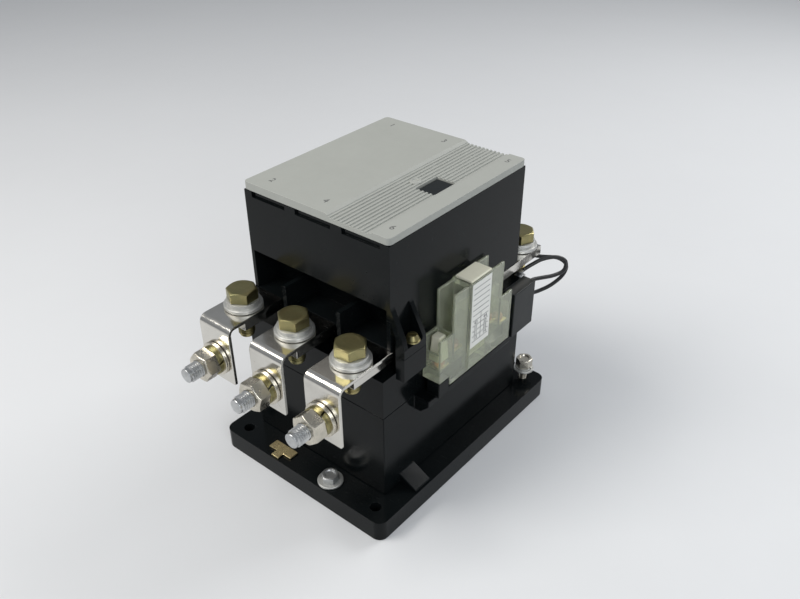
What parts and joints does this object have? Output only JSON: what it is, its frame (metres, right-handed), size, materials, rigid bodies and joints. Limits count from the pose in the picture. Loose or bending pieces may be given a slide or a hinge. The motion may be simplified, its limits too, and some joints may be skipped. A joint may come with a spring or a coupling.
{
  "type": "magnetic contactor",
  "caption": "Three-pole magnetic contactor on a four-hole base, with bolted terminals, right-angle load links, side auxiliary block and coil suppressor.",
  "frame": {"origin": "centre of the mounting face under the base plate", "axes": "+Z away from the mounting face, -Y towards the load terminals with links, +X towards the auxiliary block"},
  "size_m": [0.1368, 0.2345, 0.1855],
  "materials": {
    "base_plate": "moulded black",
    "lower_housing": "moulded black",
    "contact_frame": "moulded black",
    "arc_chamber": "moulded black",
    "top_cover": "moulded warm grey",
    "fixed_core": "laminated steel",
    "shading_ring_left": "copper",
    "shading_ring_right": "copper",
    "armature": "laminated steel",
    "coil_bobbin": "moulded black",
    "coil_winding": "taped winding",
    "contact_carrier": "moulded black",
    "contact_bridge_1": "copper",
    "contact_spring_1": "zinc plated",
    "load_bar_1": "nickel plated",
    "line_bar_1": "nickel plated",
    "arc_chute_1": "steel splitter plates",
    "load_bolt_1": "yellow zinc plated",
    "line_bolt_1": "yellow zinc plated",
    "load_link_1": "nickel plated",
    "link_stud_1": "zinc plated",
    "link_nut_1": "nickel plated",
    "contact_bridge_2": "copper",
    "contact_spring_2": "zinc plated",
    "load_bar_2": "nickel plated",
    "line_bar_2": "nickel plated",
    "arc_chute_2": "steel splitter plates",
    "load_bolt_2": "yellow zinc plated",
    "line_bolt_2": "yellow zinc plated",
    "load_link_2": "nickel plated",
    "link_stud_2": "zinc plated",
    "link_nut_2": "nickel plated",
    "contact_bridge_3": "copper",
    "contact_spring_3": "zinc plated",
    "load_bar_3": "nickel plated",
    "line_bar_3": "nickel plated",
    "arc_chute_3": "steel splitter plates",
    "load_bolt_3": "yellow zinc plated",
    "line_bolt_3": "yellow zinc plated",
    "load_link_3": "nickel plated",
    "link_stud_3": "zinc plated",
    "link_nut_3": "nickel plated",
    "return_spring_near": "zinc plated",
    "return_spring_far": "zinc plated",
    "aux_housing": "aged greenish",
    "aux_slider": "ivory",
    "aux_cap": "ivory",
    "suppressor": "moulded black",
    "suppressor_lead_1": "moulded black",
    "suppressor_lead_2": "moulded black",
    "chamber_screw": "yellow zinc plated",
    "base_screw_near": "yellow zinc plated",
    "base_screw_far": "yellow zinc plated",
    "mounting_screw": "yellow zinc plated",
    "coil_terminal_1": "nickel plated",
    "coil_terminal_2": "nickel plated",
    "core_clip": "bare brass"
  },
  "bodies": {
    "frame": {"base_plate": "base_plate", "lower_housing": "lower_housing", "contact_frame": "contact_frame", "arc_chamber": "arc_chamber", "top_cover": "top_cover", "fixed_core": "fixed_core", "shading_ring_left": "shading_ring_left", "shading_ring_right": "shading_ring_right", "coil_bobbin": "coil_bobbin", "coil_winding": "coil_winding", "load_bar_1": "load_bar_1", "line_bar_1": "line_bar_1", "arc_chute_1": "arc_chute_1", "load_bolt_1": "load_bolt_1", "line_bolt_1": "line_bolt_1", "load_link_1": "load_link_1", "link_stud_1": "link_stud_1", "link_nut_1": "link_nut_1", "load_bar_2": "load_bar_2", "line_bar_2": "line_bar_2", "arc_chute_2": "arc_chute_2", "load_bolt_2": "load_bolt_2", "line_bolt_2": "line_bolt_2", "load_link_2": "load_link_2", "link_stud_2": "link_stud_2", "link_nut_2": "link_nut_2", "load_bar_3": "load_bar_3", "line_bar_3": "line_bar_3", "arc_chute_3": "arc_chute_3", "load_bolt_3": "load_bolt_3", "line_bolt_3": "line_bolt_3", "load_link_3": "load_link_3", "link_stud_3": "link_stud_3", "link_nut_3": "link_nut_3", "return_spring_near": "return_spring_near", "return_spring_far": "return_spring_far", "aux_housing": "aux_housing", "aux_cap": "aux_cap", "suppressor": "suppressor", "suppressor_lead_1": "suppressor_lead_1", "suppressor_lead_2": "suppressor_lead_2", "chamber_screw": "chamber_screw", "base_screw_near": "base_screw_near", "base_screw_far": "base_screw_far", "mounting_screw": "mounting_screw", "coil_terminal_1": "coil_terminal_1", "coil_terminal_2": "coil_terminal_2", "core_clip": "core_clip"},
    "carrier": {"contact_carrier": "contact_carrier", "armature": "armature", "contact_spring_1": "contact_spring_1", "contact_spring_2": "contact_spring_2", "contact_spring_3": "contact_spring_3"},
    "bridge_1": {"contact_bridge_1": "contact_bridge_1"},
    "bridge_2": {"contact_bridge_2": "contact_bridge_2"},
    "bridge_3": {"contact_bridge_3": "contact_bridge_3"},
    "slider": {"aux_slider": "aux_slider"}
  },
  "joints": [
    {"name": "armature_travel", "type": "slide", "parent": "frame", "child": "carrier", "axis": [0, 0, -1], "range_m": [0, 0.009], "stiffness_N_per_m": 1500, "springref_m": -0.012, "deforming": ["return_spring_near", "return_spring_far"]},
    {"name": "bridge_float_1", "type": "slide", "parent": "carrier", "child": "bridge_1", "axis": [0, 0, 1], "range_m": [0, 0.0025], "stiffness_N_per_m": 600, "springref_m": -0.01, "deforming": ["contact_spring_1"]},
    {"name": "bridge_float_2", "type": "slide", "parent": "carrier", "child": "bridge_2", "axis": [0, 0, 1], "range_m": [0, 0.0025], "stiffness_N_per_m": 600, "springref_m": -0.01, "deforming": ["contact_spring_2"]},
    {"name": "bridge_float_3", "type": "slide", "parent": "carrier", "child": "bridge_3", "axis": [0, 0, 1], "range_m": [0, 0.0025], "stiffness_N_per_m": 600, "springref_m": -0.01, "deforming": ["contact_spring_3"]},
    {"name": "aux_slide", "type": "slide", "parent": "frame", "child": "slider", "axis": [0, 0, -1], "range_m": [0, 0.009]}
  ],
  "couplings": [
    {"joint": "aux_slide", "follows": "armature_travel", "ratio": 1}
  ]
}
